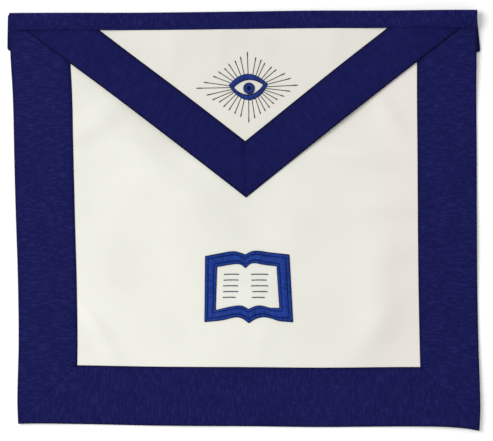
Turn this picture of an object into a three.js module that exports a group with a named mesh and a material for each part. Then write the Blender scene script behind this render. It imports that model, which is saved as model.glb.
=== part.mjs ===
// A masonic apron of white lambskin that lies flat, face up, with its flap turned down.
// Lengths are in millimetres. +X runs across the apron, +Y from the hem to the waist, +Z up from the floor.
// Each piece is laid out flat first. One map then sways its edges and lifts it over the pieces under it.
import * as THREE from "three";
import { mergeVertices } from "three/addons/utils/BufferGeometryUtils.js";

// Materials by the millimetre
const LEATHER = 1.2; // lambskin of the panel and the flap
const RIBBON = 1.0; // ribbed ribbon of the borders, the trims and the waistband
const BELT = 1.2; // webbing of the belt
const THREAD = 1.0; // height of the padded embroidery at its crown
const THREAD_EDGE = 0.4; // height of the embroidery at its rim
const GAP = 0.3; // clearance between pieces that are sewn to each other
const EDGE_ROUND = 0.45; // how far the turned edges of ribbon and webbing are rounded

// The apron and its ribbons
const APRON_WIDTH = 402; // edge to edge of the side borders
const APRON_HEIGHT = 360; // hem to the fold of the waistband
const BORDER_WIDTH = 51.6;
const TRIM_WIDTH = 38.8; // square across the ribbon on the flap's slopes
const BAND_LEG = 15.4; // height of the waistband on the face, and on the back

// The flap
const FLAP_DROP = 161.5; // waist fold to the tip of the flap
const FLAP_OVERRUN = 6.5; // how far past the side edges its slopes would meet the waist fold
const FLAP_BOW = 0.8; // how far its sloping edges bow inwards, half way up
const FLAP_INSET = 6; // its corners stay this far inside the side edges, under the waistband

// The belt behind the waist
const BELT_WIDTH = 32;
const BELT_TAIL = 45; // the end of each strap that is sewn behind a corner
const CLASP_WIDTH = 24;
const CLASP_HEIGHT = 30;
const CLASP_CORNER = 5;

// Embroidery on the flap
const EYE_WIDTH = 32.6;
const EYE_ABOVE = 10.3; // upper lid above the corners of the eye
const EYE_BELOW = 12.6;
const LID_CORNER = 4.1; // lid seen past the white at each corner
const LID_ABOVE = 4.3; // thickness of the upper lid
const LID_BELOW = 5.6;
const IRIS_WIDTH = 9.9;
const IRIS_DROP = 1.9; // iris centre below the corners of the eye
const EYE_DOWN = 64.5; // waist fold to the corners of the eye
const EYE_SHIFT = 3.8; // it sits a little to one side of the flap's middle
const EYE_TURN = 2.7; // degrees

// Embroidery on the panel
const BOOK_WIDTH = 75;
const BOOK_HEIGHT = 58;
const BOOK_SPLAY = 1.9; // its foot is wider than its head by this much on each side
const BOOK_RAIL = 10; // width of the stitched frame
const BOOK_CREST = 4; // rise of each page over its corners
const BOOK_UP = 120.2; // hem to the middle of the book

// How the soft pieces lie
const EDGE_SWAY = 4.5; // the most that an edge wanders from its straight line
const LIFT = 3; // the most that an edge stands off the floor
const BELT_SLOPE = 60; // length over which the panel climbs onto the belt
const STRAP_SLOPE = 40; // length over which it climbs onto the sewn end of a strap
const BAND_SLOPE = 30; // length over which it climbs onto the back of the waistband
const FLAP_SLOPE = 40; // length over which the flap climbs onto the borders
const SETTLE = 32; // length over which the waistband climbs onto the trims
const EASE = 1; // a slope ends this far before the piece that it climbs onto
const CELL = 22; // the longest stretch of a sheet between two bends

// Sway of the side edges: up is a share of the height,
// left and right are shares of EDGE_SWAY towards +X
const SIDES = [
  { up: 0, left: 0.62, right: 0.24 },
  { up: 0.06, left: 0.47, right: 0.42 },
  { up: 0.2, left: 0.69, right: 0.1 },
  { up: 0.35, left: 0.55, right: -0.14 },
  { up: 0.5, left: 0.18, right: -0.22 },
  { up: 0.65, left: -0.15, right: -0.24 },
  { up: 0.8, left: -0.42, right: -0.34 },
  { up: 0.9, left: -0.84, right: -0.31 },
  { up: 1, left: -0.96, right: -0.3 },
];

// Sway of the hem and the waist: across is a share of the width,
// hem and waist are shares of EDGE_SWAY towards +Y
const ENDS = [
  { across: 0, hem: 0.44, waist: -0.4 },
  { across: 0.04, hem: 0.5, waist: -0.38 },
  { across: 0.14, hem: 0.38, waist: -0.35 },
  { across: 0.3, hem: 0.08, waist: -0.28 },
  { across: 0.5, hem: -0.04, waist: -0.07 },
  { across: 0.65, hem: -0.2, waist: 0.11 },
  { across: 0.84, hem: -0.08, waist: 0.12 },
  { across: 0.92, hem: -0.14, waist: 0.2 },
  { across: 0.97, hem: -0.46, waist: 0.22 },
  { across: 1, hem: -0.91, waist: 0.22 },
];

// Places where an edge stands off the floor: across and up are shares of the apron,
// reach is a share of its width and rise a share of LIFT
const LIFTS = [
  { across: 1, up: 0, reach: 0.26, rise: 1 },
  { across: 0, up: 0, reach: 0.2, rise: 0.55 },
  { across: 1, up: 0.45, reach: 0.14, rise: 0.35 },
  { across: 0, up: 0.55, reach: 0.14, rise: 0.3 },
  { across: 0.4, up: 0, reach: 0.15, rise: 0.3 },
];

// The straps of the belt: how far the top edge lies below the waist fold,
// and how far the fold shows past the side edge at its top and at its foot
const STRAPS = [
  { name: "belt_left", side: -1, down: 0.5, topShows: 1.8, footShows: 2.7 },
  { name: "belt_right", side: 1, down: 3.8, topShows: 0.3, footShows: 3.5 },
];

// The edge of an open book: across is a share of the half width, head and foot are shares of BOOK_CREST
const BOOK_EDGE = [
  { across: -1, head: 0, foot: 0 },
  { across: -0.62, head: 0.5, foot: 0.3 },
  { across: -0.36, head: 0.95, foot: 0.92 },
  { across: -0.2, head: 0.86, foot: 0.86 },
  { across: 0, head: 0.16, foot: -0.25 },
  { across: 0.2, head: 0.86, foot: 0.86 },
  { across: 0.36, head: 0.95, foot: 0.92 },
  { across: 0.62, head: 0.5, foot: 0.3 },
  { across: 1, head: 0, foot: 0 },
];

// Sizes that follow from the ones above
const HALF_WIDTH = APRON_WIDTH / 2;
const SEAT = RIBBON + GAP; // from a ribbon's outer face to the leather that it turns over
const STACK_TOP = APRON_HEIGHT - SEAT; // the pieces that the waistband holds end here
const BAND_FOOT = APRON_HEIGHT - BAND_LEG;
const BELT_FOOT = APRON_HEIGHT - BELT_WIDTH - Math.max(...STRAPS.map((strap) => strap.down));
const BORDER_INNER = HALF_WIDTH - BORDER_WIDTH;
const FLAP_TIP = APRON_HEIGHT - FLAP_DROP;
const FLAP_CORNER = HALF_WIDTH - FLAP_INSET;
const FLAP_RISE = FLAP_DROP / (HALF_WIDTH + FLAP_OVERRUN); // rise of its slopes for each millimetre outwards
const SLOPE_LENGTH = Math.hypot(1, FLAP_RISE);
const FLAP_CLIMBED = BORDER_INNER - 2 * EASE;

const lambskin = new THREE.MeshStandardMaterial({ color: 0xecece3, roughness: 0.62, metalness: 0 });
const navyRibbon = new THREE.MeshStandardMaterial({ color: 0x1d1e55, roughness: 0.7, metalness: 0 });
const navyWebbing = new THREE.MeshStandardMaterial({ color: 0x1a1b4b, roughness: 0.85, metalness: 0 });
const blueThread = new THREE.MeshStandardMaterial({ color: 0x1f3c8c, roughness: 0.45, metalness: 0 });
const brass = new THREE.MeshStandardMaterial({ color: 0xb8934a, roughness: 0.35, metalness: 1 });

// 0 before start, 1 past end and a straight slope between them.
function ramp(value, start, end) {
  return THREE.MathUtils.clamp((value - start) / (end - start), 0, 1);
}

// A smooth curve through one named column of a table, at a place given in another.
function curveAt(table, place, column, value) {
  const last = table.length - 1;
  const at = THREE.MathUtils.clamp(value, table[0][place], table[last][place]);
  const i = Math.min(table.findLastIndex((row) => row[place] <= at), last - 1);
  const steepness = (k) => {
    const before = table[Math.max(k - 1, 0)];
    const after = table[Math.min(k + 1, last)];
    return (after[column] - before[column]) / (after[place] - before[place]);
  };
  const span = table[i + 1][place] - table[i][place];
  const t = (at - table[i][place]) / span;
  return (
    table[i][column] * (1 + 2 * t) * (1 - t) ** 2 +
    steepness(i) * span * t * (1 - t) ** 2 +
    table[i + 1][column] * t * t * (3 - 2 * t) -
    steepness(i + 1) * span * t * t * (1 - t)
  );
}

// Places from one end to the other, at most a cell apart, that take in the places given.
function stations(from, to, ...wanted) {
  const marks = [from, to, ...wanted.filter((mark) => mark > from + EASE && mark < to - EASE)];
  marks.sort((a, b) => a - b);
  return marks.slice(1).reduce(
    (places, mark) => {
      const start = places.at(-1);
      const cells = Math.ceil((mark - start) / CELL);
      for (let k = 1; k <= cells; k += 1) places.push(start + ((mark - start) * k) / cells);
      return places;
    },
    [from],
  );
}

function mirrored(places) {
  return [...places.map((place) => -place).reverse(), ...places.filter((place) => place > 0)];
}

// Height of the panel's underside over the belt, the straps and the back of the waistband.
function underlay(x, y) {
  const overBelt = ramp(y, BELT_FOOT - EASE - BELT_SLOPE, BELT_FOOT - EASE);
  const overStrap = overBelt * ramp(Math.abs(x), BORDER_INNER - STRAP_SLOPE, BORDER_INNER);
  const overBand = ramp(y, BAND_FOOT - EASE - BAND_SLOPE, BAND_FOOT - EASE);
  return (BELT + GAP) * (overBelt + overStrap) + (RIBBON + GAP) * overBand;
}

// Height to which the edges and corners stand off the floor.
function lift(x, y) {
  return LIFTS.reduce((height, bump) => {
    const far = Math.hypot(x - (bump.across - 0.5) * APRON_WIDTH, y - bump.up * APRON_HEIGHT);
    const near = 1 - ramp(far, 0, bump.reach * APRON_WIDTH);
    return height + LIFT * bump.rise * near * near * (3 - 2 * near);
  }, 0);
}

// The swayed place on the floor of a point of the flat layout, at a height over the floor.
function onFloor(x, y, height) {
  const across = x / APRON_WIDTH + 0.5;
  const up = y / APRON_HEIGHT;
  const left = curveAt(SIDES, "up", "left", up);
  const right = curveAt(SIDES, "up", "right", up);
  const hem = curveAt(ENDS, "across", "hem", across);
  const waist = curveAt(ENDS, "across", "waist", across);
  return new THREE.Vector3(
    x + EDGE_SWAY * THREE.MathUtils.lerp(left, right, THREE.MathUtils.clamp(across, 0, 1)),
    y + EDGE_SWAY * THREE.MathUtils.lerp(hem, waist, up),
    height,
  );
}

// The same, at a height over the panel's underside.
function onPanel(x, y, height) {
  return onFloor(x, y, underlay(x, y) + lift(x, y) + height);
}

// Height of the flap's underside over the panel's: on the panel in the middle, on the borders at the sides.
function flapUnderside(x) {
  const climbed = ramp(Math.abs(x), FLAP_CLIMBED - FLAP_SLOPE, FLAP_CLIMBED);
  return LEATHER + GAP + (RIBBON + GAP) * climbed;
}

function onFlap(x, y, height) {
  return onPanel(x, y, flapUnderside(x) + height);
}

// A place on the flap that lies inwards of its sloping edge, square to it.
function flapHeightAt(x, inwards) {
  const out = Math.abs(x) / HALF_WIDTH;
  const bowed = FLAP_BOW * 4 * out * (1 - out);
  return Math.min(FLAP_TIP + Math.abs(x) * FLAP_RISE + bowed + inwards * SLOPE_LENGTH, STACK_TOP);
}

// Distance from the middle at which a line inwards of the flap's edge reaches a height.
function flapReachAt(y, inwards) {
  return (y - FLAP_TIP - inwards * SLOPE_LENGTH) / FLAP_RISE;
}

// A closed solid of a sheet: place(i, j) gives its face point and its back point.
// A closed one joins up along i.
function sheet(name, material, count, place, closed = false) {
  const [along, across] = count;
  const points = [];
  for (let i = 0; i < along; i += 1) {
    for (let j = 0; j < across; j += 1) points.push(...place(i, j));
  }
  const face = (i, j) => 2 * ((i % along) * across + j);
  const back = (i, j) => face(i, j) + 1;
  const triangles = [];
  const quad = (a, b, c, d) => triangles.push(a, b, c, a, c, d);
  const steps = closed ? along : along - 1;
  for (let i = 0; i < steps; i += 1) {
    for (let j = 0; j < across - 1; j += 1) {
      quad(face(i, j), face(i + 1, j), face(i + 1, j + 1), face(i, j + 1));
      quad(back(i, j + 1), back(i + 1, j + 1), back(i + 1, j), back(i, j));
    }
    quad(back(i, 0), back(i + 1, 0), face(i + 1, 0), face(i, 0));
    quad(face(i, across - 1), face(i + 1, across - 1), back(i + 1, across - 1), back(i, across - 1));
  }
  for (let j = 0; !closed && j < across - 1; j += 1) {
    quad(back(0, j + 1), back(0, j), face(0, j), face(0, j + 1));
    quad(face(along - 1, j + 1), face(along - 1, j), back(along - 1, j), back(along - 1, j + 1));
  }
  const geometry = new THREE.BufferGeometry().setFromPoints(points).setIndex(triangles);
  return pieceOf(name, material, geometry);
}

// The mesh of a closed geometry, without the triangles that lie on a line and with its faces pointing out.
function pieceOf(name, material, geometry) {
  const merged = mergeVertices(geometry);
  const { array } = merged.index;
  const kept = [];
  for (let k = 0; k < array.length; k += 3) {
    const [a, b, c] = array.slice(k, k + 3);
    if (a !== b && b !== c && c !== a) kept.push(a, b, c);
  }
  const corner = (k) => new THREE.Vector3().fromBufferAttribute(merged.attributes.position, k);
  let volume = 0;
  for (let k = 0; k < kept.length; k += 3) {
    volume += corner(kept[k]).dot(corner(kept[k + 1]).cross(corner(kept[k + 2])));
  }
  merged.setIndex(volume < 0 ? kept.reverse() : kept);
  merged.computeVertexNormals();
  const mesh = new THREE.Mesh(merged, material);
  mesh.name = name;
  return mesh;
}

// The section of a ribbon that lies on leather and turns down over its edge. Its points are given
// inwards from the ribbon's outer face, and up from the leather's underside.
function ribbonSection(width) {
  const back = LEATHER + GAP;
  const face = back + RIBBON;
  const flat = [1 / 3, 2 / 3, 1].map((share) => ({
    faceIn: width * share,
    faceUp: face,
    backIn: width * share,
    backUp: back,
  }));
  return [
    { faceIn: 0, faceUp: 0, backIn: RIBBON, backUp: 0 },
    { faceIn: 0, faceUp: face - EDGE_ROUND, backIn: RIBBON, backUp: back },
    { faceIn: EDGE_ROUND, faceUp: face, backIn: SEAT, backUp: back },
    ...flat,
  ];
}

const borderSection = ribbonSection(BORDER_WIDTH);
const trimSection = ribbonSection(TRIM_WIDTH);
const borderLines = borderSection.slice(3).map((point) => point.faceIn);
const mitreEnd = BORDER_WIDTH + CELL / 2; // past here a border's stations lie square across it
const sideLines = mirrored(
  stations(
    0,
    HALF_WIDTH - SEAT,
    BORDER_INNER - STRAP_SLOPE,
    HALF_WIDTH - mitreEnd,
    ...borderLines.map((line) => HALF_WIDTH - line),
  ),
);
const upLines = stations(
  SEAT,
  STACK_TOP,
  ...borderLines,
  mitreEnd,
  BELT_FOOT - EASE - BELT_SLOPE,
  BELT_FOOT - EASE,
  BAND_FOOT - EASE - BAND_SLOPE,
  BAND_FOOT - EASE,
);

function apronPanel() {
  return sheet("apron_panel", lambskin, [sideLines.length, upLines.length], (i, j) =>
    [LEATHER, 0].map((height) => onPanel(sideLines[i], upLines[j], height)),
  );
}

// Places along a border at a line inwards of its outer face:
// a few that lean over to the mitre, then square ones.
function borderPlaces(squareLines, inwards) {
  const start = inwards + GAP / Math.SQRT2;
  const mitreCells = Math.ceil(mitreEnd / CELL);
  const shares = Array.from({ length: mitreCells }, (_, k) => k / mitreCells);
  return [...shares.map((share) => THREE.MathUtils.lerp(start, mitreEnd, share)), ...squareLines];
}

function sideBorder(name, side) {
  const square = upLines.filter((y) => y > mitreEnd - EASE);
  const count = [borderPlaces(square, 0).length, borderSection.length];
  return sheet(name, navyRibbon, count, (i, j) => {
    const { faceIn, faceUp, backIn, backUp } = borderSection[j];
    return [
      onPanel(side * (HALF_WIDTH - faceIn), borderPlaces(square, faceIn)[i], faceUp),
      onPanel(side * (HALF_WIDTH - backIn), borderPlaces(square, backIn)[i], backUp),
    ];
  });
}

function hemBorder() {
  const square = sideLines
    .filter((x) => Math.abs(x) < HALF_WIDTH - mitreEnd + EASE)
    .map((x) => x + HALF_WIDTH);
  const places = (inwards) => {
    const start = borderPlaces([], inwards);
    return [...start, ...square, ...start.map((place) => APRON_WIDTH - place).reverse()];
  };
  return sheet("border_bottom", navyRibbon, [places(0).length, borderSection.length], (i, j) => {
    const { faceIn, faceUp, backIn, backUp } = borderSection[j];
    return [
      onPanel(places(faceIn)[i] - HALF_WIDTH, faceIn, faceUp),
      onPanel(places(backIn)[i] - HALF_WIDTH, backIn, backUp),
    ];
  });
}

const flapPlaces = stations(
  0,
  FLAP_CORNER,
  FLAP_CLIMBED - FLAP_SLOPE,
  FLAP_CLIMBED,
  flapReachAt(STACK_TOP, TRIM_WIDTH),
  (FLAP_CORNER + FLAP_CLIMBED) / 2,
);

// The flap's lines follow its trims up to their inner edge, then spread out to the waist.
function flap() {
  const places = mirrored(flapPlaces);
  const trimmed = [SEAT, ...trimSection.slice(3).map((point) => point.faceIn)];
  const free = Math.ceil((STACK_TOP - flapHeightAt(0, TRIM_WIDTH)) / (CELL / 2));
  return sheet("flap", lambskin, [places.length, trimmed.length + free], (i, j) => {
    const x = places[i];
    const inner = flapHeightAt(x, TRIM_WIDTH);
    const spread = THREE.MathUtils.lerp(inner, STACK_TOP, (j - trimmed.length + 1) / free);
    const y = j < trimmed.length ? flapHeightAt(x, trimmed[j]) : spread;
    return [LEATHER, 0].map((height) => onFlap(x, y, height));
  });
}

function flapTrim(name, side) {
  const places = [GAP / 2, ...flapPlaces.slice(1)];
  return sheet(name, navyRibbon, [places.length, trimSection.length], (i, j) => {
    const { faceIn, faceUp, backIn, backUp } = trimSection[j];
    return [
      onFlap(side * places[i], flapHeightAt(places[i], faceIn), faceUp),
      onFlap(side * places[i], flapHeightAt(places[i], backIn), backUp),
    ];
  });
}

// The waistband is one ribbon folded over the top of everything, with a leg on the face
// and a leg on the back.
function waistband() {
  const trimsStart = flapReachAt(BAND_FOOT, TRIM_WIDTH) - EASE;
  const underFront = (x) =>
    flapUnderside(x) + LEATHER + GAP + (RIBBON + GAP) * ramp(Math.abs(x), trimsStart - SETTLE, trimsStart);
  const places = mirrored(
    stations(
      0,
      HALF_WIDTH,
      trimsStart - SETTLE,
      trimsStart,
      FLAP_CLIMBED - FLAP_SLOPE,
      FLAP_CLIMBED,
      BORDER_INNER - STRAP_SLOPE,
      BORDER_INNER,
    ),
  );
  const section = (x) => {
    const front = underFront(x);
    const middle = (front - GAP) / 2;
    const legs = [BAND_LEG, BAND_LEG / 2];
    return [
      ...legs.map((leg) => ({ out: leg, outUp: front + RIBBON, in: leg, inUp: front })),
      { out: EDGE_ROUND, outUp: front + RIBBON, in: RIBBON + GAP / 2, inUp: front },
      { out: 0, outUp: front + RIBBON - EDGE_ROUND, in: RIBBON, inUp: front - GAP / 2 },
      { out: 0, outUp: middle, in: RIBBON, inUp: middle },
      { out: 0, outUp: EDGE_ROUND - RIBBON - GAP, in: RIBBON, inUp: -GAP / 2 },
      { out: EDGE_ROUND, outUp: -RIBBON - GAP, in: RIBBON + GAP / 2, inUp: -GAP },
      ...legs.reverse().map((leg) => ({ out: leg, outUp: -RIBBON - GAP, in: leg, inUp: -GAP })),
    ];
  };
  return sheet("waistband", navyRibbon, [places.length, section(0).length], (i, j) => {
    const point = section(places[i])[j];
    return [
      onPanel(places[i], APRON_HEIGHT - point.out, point.outUp),
      onPanel(places[i], APRON_HEIGHT - point.in, point.inUp),
    ];
  });
}

// Each strap runs along the floor from the clasp, turns back on itself past the side edge
// and ends behind the corner.
function strap({ name, side, down, topShows, footShows }) {
  const outer = BELT + GAP / 2;
  const inner = GAP / 2;
  const start = CLASP_WIDTH / 2 + GAP;
  const runCells = Math.ceil(HALF_WIDTH / (2 * CELL));
  const bends = 6;
  const run = Array.from({ length: runCells }, (_, k) => ({ share: k / runCells, turn: 0 }));
  const fold = Array.from({ length: bends + 1 }, (_, k) => ({ share: 1, turn: (Math.PI * k) / bends }));
  const path = [...run, ...fold, { share: 1, turn: Math.PI, back: BELT_TAIL }];
  const widths = [0, 0.5, 1];
  return sheet(name, navyWebbing, [path.length, widths.length], (i, j) => {
    const { share, turn, back = 0 } = path[i];
    const shows = THREE.MathUtils.lerp(topShows, footShows, widths[j]);
    const foldAt = HALF_WIDTH + shows - outer;
    const middle = THREE.MathUtils.lerp(start, foldAt, share) - back;
    const y = APRON_HEIGHT - down - BELT_WIDTH * widths[j];
    return [outer, inner].map((radius) =>
      onFloor(side * (middle + radius * Math.sin(turn)), y, outer - radius * Math.cos(turn)),
    );
  });
}

// A plain plate that joins the straps in the middle of the back, out of sight.
function beltClasp() {
  const width = CLASP_WIDTH / 2;
  const height = CLASP_HEIGHT / 2;
  const round = CLASP_CORNER;
  const outline = new THREE.Shape();
  outline.absarc(width - round, height - round, round, 0, Math.PI / 2);
  outline.absarc(round - width, height - round, round, Math.PI / 2, Math.PI);
  outline.absarc(round - width, round - height, round, Math.PI, 1.5 * Math.PI);
  outline.absarc(width - round, round - height, round, 1.5 * Math.PI, 2 * Math.PI);
  const plate = new THREE.ExtrudeGeometry(outline, { depth: BELT, bevelEnabled: false, curveSegments: 4 });
  const middle = BELT_FOOT + (APRON_HEIGHT - BELT_FOOT) / 2;
  const place = onFloor(0, middle, 0);
  plate.translate(place.x, place.y, place.z);
  plate.deleteAttribute("normal");
  plate.deleteAttribute("uv");
  return pieceOf("belt_clasp", brass, plate);
}

// A closed band of padded embroidery between an outer and an inner outline of matching points.
function embroidery(name, outline, place) {
  const section = [
    { inwards: 0, up: THREAD_EDGE },
    { inwards: 0.2, up: THREAD },
    { inwards: 0.8, up: THREAD },
    { inwards: 1, up: THREAD_EDGE },
  ];
  return sheet(
    name,
    blueThread,
    [outline.length, section.length],
    (i, j) => {
      const at = outline[i].outer.clone().lerp(outline[i].inner, section[j].inwards);
      return [section[j].up, 0].map((height) => place(at.x, at.y, LEATHER + GAP + height));
    },
    true,
  );
}

function onEye(x, y, height) {
  const at = new THREE.Vector2(x, y).rotateAround(new THREE.Vector2(), THREE.MathUtils.degToRad(EYE_TURN));
  return onFlap(EYE_SHIFT + at.x, APRON_HEIGHT - EYE_DOWN + at.y, height);
}

// The lids of the eye: two arches that meet at pointed corners, the lower one fuller.
function eyeRing() {
  const steps = 12;
  const lid = (halfWidth, above, below, k) => {
    const angle = (Math.PI * k) / steps;
    const across = Math.cos(angle);
    const arch = 1 - across * across;
    return new THREE.Vector2(halfWidth * across, k < steps ? above * arch : -below * arch ** 0.75);
  };
  const outline = Array.from({ length: 2 * steps }, (_, k) => ({
    outer: lid(EYE_WIDTH / 2, EYE_ABOVE, EYE_BELOW, k),
    inner: lid(EYE_WIDTH / 2 - LID_CORNER, EYE_ABOVE - LID_ABOVE, EYE_BELOW - LID_BELOW, k),
  }));
  return embroidery("eye_ring", outline, onEye);
}

function eyeIris() {
  const sides = 16;
  const dome = [
    { out: 0, up: THREAD },
    { out: 0.75, up: THREAD },
    { out: 1, up: THREAD_EDGE },
  ];
  return sheet(
    "eye_iris",
    blueThread,
    [sides, dome.length],
    (i, j) => {
      const angle = (2 * Math.PI * i) / sides;
      const radius = (dome[j].out * IRIS_WIDTH) / 2;
      return [dome[j].up, 0].map((height) =>
        onEye(radius * Math.cos(angle), radius * Math.sin(angle) - IRIS_DROP, LEATHER + GAP + height),
      );
    },
    true,
  );
}

// The frame of an open book: its head and foot follow the pages, its sides are straight.
function bookFrame() {
  const corner = (row, column, end, inset) => {
    const halfWidth = BOOK_WIDTH / 2 - end * BOOK_SPLAY - inset;
    const level = end * (BOOK_HEIGHT / 2 - inset);
    return new THREE.Vector2(row.across * halfWidth, level + row[column] * BOOK_CREST);
  };
  const edge = (rows, column, end) =>
    rows.map((row) => ({ outer: corner(row, column, end, 0), inner: corner(row, column, end, BOOK_RAIL) }));
  const outline = [...edge(BOOK_EDGE, "head", 1), ...edge(BOOK_EDGE.toReversed(), "foot", -1)];
  return embroidery("book_frame", outline, (x, y, height) => onPanel(x, BOOK_UP + y, height));
}

const apron = new THREE.Group();
apron.add(
  apronPanel(),
  sideBorder("border_left", -1),
  sideBorder("border_right", 1),
  hemBorder(),
  flap(),
  flapTrim("flap_trim_left", -1),
  flapTrim("flap_trim_right", 1),
  waistband(),
  ...STRAPS.map(strap),
  beltClasp(),
  eyeRing(),
  eyeIris(),
  bookFrame(),
);

// The origin is the middle of the apron's footprint, on the floor.
const bounds = new THREE.Box3().setFromObject(apron);
const middle = bounds.getCenter(new THREE.Vector3());
apron.position.set(-middle.x, -middle.y, -bounds.min.z);

export default apron;
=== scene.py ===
# A masonic apron of white lambskin that lies flat, face up, with its flap turned down over its front.
# Lengths are in millimetres until a mesh is made. +X runs across the apron, +Y from the hem to the waist.
# Each piece is laid out flat first. One map then sways its edges and lifts it over the pieces under it.
import math

import bmesh
import bpy
import numpy as np
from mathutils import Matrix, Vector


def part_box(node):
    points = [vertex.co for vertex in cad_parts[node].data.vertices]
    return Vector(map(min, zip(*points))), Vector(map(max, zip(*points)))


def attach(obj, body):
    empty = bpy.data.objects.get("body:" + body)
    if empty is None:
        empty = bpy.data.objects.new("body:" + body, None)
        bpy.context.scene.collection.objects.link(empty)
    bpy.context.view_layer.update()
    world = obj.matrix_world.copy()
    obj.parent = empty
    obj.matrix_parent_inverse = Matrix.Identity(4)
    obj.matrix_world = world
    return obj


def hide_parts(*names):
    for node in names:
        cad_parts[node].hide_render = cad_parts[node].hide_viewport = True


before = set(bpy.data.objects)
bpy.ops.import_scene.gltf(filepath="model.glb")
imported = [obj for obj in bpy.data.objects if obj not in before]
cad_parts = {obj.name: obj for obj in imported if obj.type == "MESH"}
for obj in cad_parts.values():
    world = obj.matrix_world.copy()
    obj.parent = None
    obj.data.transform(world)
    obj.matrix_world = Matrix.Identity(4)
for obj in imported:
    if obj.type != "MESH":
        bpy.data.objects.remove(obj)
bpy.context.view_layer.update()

# The leather panel
# One piece of white lambskin, cut a little smaller than the apron, which everything else is sewn to.
# It lies on the belt and on the back of the waistband, so it climbs near the waist, and its edges and
# soft folds stand a little off the table.
MILLIMETRE = 0.001
LEATHER = 1.2
RIBBON = 1.0
BELT = 1.2
GAP = 0.3
SEAT = RIBBON + GAP
APRON_WIDTH = 402.0
APRON_HEIGHT = 360.0
HALF_WIDTH = APRON_WIDTH / 2
STACK_TOP = APRON_HEIGHT - SEAT
BORDER_WIDTH = 51.6
BORDER_INNER = HALF_WIDTH - BORDER_WIDTH
BAND_LEG = 15.4
BAND_FOOT = APRON_HEIGHT - BAND_LEG
BELT_WIDTH = 32.0
STRAPS = {
    "belt_left": {"side": -1, "down": 0.5, "top_shows": 1.8, "foot_shows": 2.7},
    "belt_right": {"side": 1, "down": 3.8, "top_shows": 0.3, "foot_shows": 3.5},
}
BELT_FOOT = APRON_HEIGHT - BELT_WIDTH - max(strap["down"] for strap in STRAPS.values())
BELT_SLOPE = 60.0
STRAP_SLOPE = 40.0
BAND_SLOPE = 30.0
EASE = 1.0
EDGE_SWAY = 4.5
LIFT = 3.0
FADE_UNDER = 15.0
LEATHER_CELL = 2.5
NOTHING = 1e-6

# Painted light lightens the hide down from the first height to the second, and painted shade darkens
# and warms it from the first place to the second. The shares are what the patches, the painted shade in the
# creases and the painted light at the foot make up of its tone.
PAINTED_LIGHT_FOOT = (300.0, 40.0)
PAINTED_SHADE_SIDE = (30.0, 130.0)
HIDE_PATCH = 60.0
PATCH_SHARE = 0.4
CREASE_SHADE_SHARE = 0.1
PAINTED_LIGHT_SHARE = 0.6
HIDE_SHEEN = 0.3


def table(columns, rows):
    """Rows with named columns."""
    return [dict(zip(columns.split(), row)) for row in rows]


def together(*parts):
    """Points from their separate coordinates."""
    return np.stack(np.broadcast_arrays(*parts), axis=-1)


# Sway of the side edges, and of the hem and the waist, as shares of EDGE_SWAY
SIDES = table("up left right", [
    (0, 0.62, 0.24), (0.06, 0.47, 0.42), (0.2, 0.69, 0.1), (0.35, 0.55, -0.14), (0.5, 0.18, -0.22),
    (0.65, -0.15, -0.24), (0.8, -0.42, -0.34), (0.9, -0.84, -0.31), (1, -0.96, -0.3),
])
ENDS = table("across hem waist", [
    (0, 0.44, -0.4), (0.04, 0.5, -0.38), (0.14, 0.38, -0.35), (0.3, 0.08, -0.28), (0.5, -0.04, -0.07),
    (0.65, -0.2, 0.11), (0.84, -0.08, 0.12), (0.92, -0.14, 0.2), (0.97, -0.46, 0.22), (1, -0.91, 0.22),
])

# Places where an edge stands off the table: reach is a share of the width and rise a share of LIFT
LIFTS = table("across up reach rise", [
    (1, 0, 0.26, 1), (0, 0, 0.2, 0.55), (1, 0.45, 0.14, 0.35), (0, 0.55, 0.14, 0.3), (0.4, 0, 0.15, 0.3),
])

# Soft folds of the leather: turn is in degrees from +X, length, width and rise are in millimetres
PANEL_FOLDS = table("across up turn length width rise", [
    (0.17, 0.73, 32, 30, 11, 2.3), (0.285, 0.65, -38, 45, 15, 3.2), (0.389, 0.509, 80, 45, 45, 4.0),
    (0.49, 0.25, 85, 50, 60, 4.6), (0.175, 0.227, -56, 26, 7, 2.3), (0.205, 0.448, 3, 35, 14, 1.4),
    (0.75, 0.653, -11, 34, 9, 2.8), (0.81, 0.535, -5, 30, 11, 2.8), (0.805, 0.42, -5, 22, 11, 2.0),
    (0.784, 0.328, 88, 40, 18, 2.6), (0.775, 0.235, 50, 34, 13, 1.8), (0.469, 0.477, -50, 14, 6, 0.4),
    (0.39, 0.207, 90, 12, 6, 0.4), (0.53, 0.207, 86, 12, 6, 0.4), (0.64, 0.56, 60, 40, 26, 1.8),
    (0.425, 0.6, 70, 30, 22, 1.6), (0.71, 0.2, 80, 35, 30, 1.6), (0.2, 0.4, 75, 30, 22, 1.4),
    (0.81, 0.752, -54, 24, 9, 2.0), (0.24, 0.56, 60, 30, 24, 1.5),
])


def ease(value, start, end):
    """0 before start, 1 past end and a soft slope between them."""
    share = np.clip((value - start) / (end - start), 0, 1)
    return share * share * (3 - 2 * share)


def curve_at(rows, place, column, value):
    """A smooth curve through one column of a table, at places given in another."""
    knots = np.array([row[place] for row in rows], float)
    levels = np.array([row[column] for row in rows], float)
    last = len(rows) - 1
    before = np.maximum(np.arange(last + 1) - 1, 0)
    after = np.minimum(np.arange(last + 1) + 1, last)
    steepness = (levels[after] - levels[before]) / (knots[after] - knots[before])
    at = np.clip(value, knots[0], knots[-1])
    i = np.clip(np.searchsorted(knots, at, side="right") - 1, 0, last - 1)
    span = knots[i + 1] - knots[i]
    t = (at - knots[i]) / span
    return (
        levels[i] * (1 + 2 * t) * (1 - t) ** 2
        + steepness[i] * span * t * (1 - t) ** 2
        + levels[i + 1] * t * t * (3 - 2 * t)
        - steepness[i + 1] * span * t * t * (1 - t)
    )


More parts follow.
